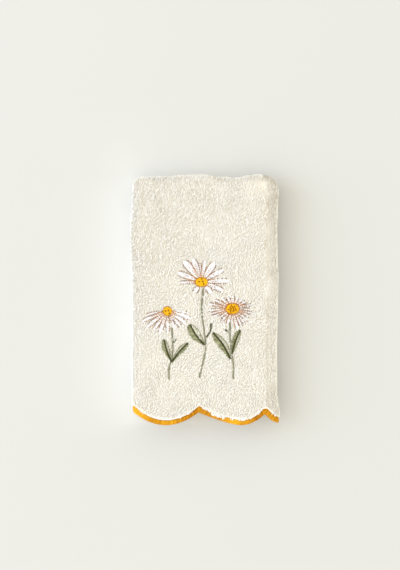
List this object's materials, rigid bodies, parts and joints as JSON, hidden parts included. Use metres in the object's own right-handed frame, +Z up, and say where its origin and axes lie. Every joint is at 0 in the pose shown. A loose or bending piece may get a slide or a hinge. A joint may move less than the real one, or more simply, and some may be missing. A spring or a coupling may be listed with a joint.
{
  "type": "folded hand towel",
  "caption": "Cream terry hand towel, folded in thirds both ways and lying face up, with a satin-stitched scalloped hem.",
  "frame": {"origin": "under the middle of the folded towel, on the surface it lies on", "axes": "+Z up out of the face, +Y from the scalloped hem towards the closed fold, +X to the right"},
  "size_m": [0.1758, 0.2964, 0.0315],
  "materials": {
    "terry_cotton": "cream cotton terry, looped pile on both faces, matt",
    "mustard_thread": "mustard yellow satin-stitch thread, soft sheen",
    "petal_thread": "pale lilac-white embroidery thread, soft sheen",
    "blush_thread": "blush-copper embroidery thread",
    "golden_thread": "golden yellow embroidery thread",
    "leaf_thread": "olive green embroidery thread",
    "stem_thread": "grey-green embroidery thread"
  },
  "bodies": {
    "root": {"terry_cloth": "terry_cotton", "scalloped_edging": "mustard_thread"}
  },
  "joints": []
}
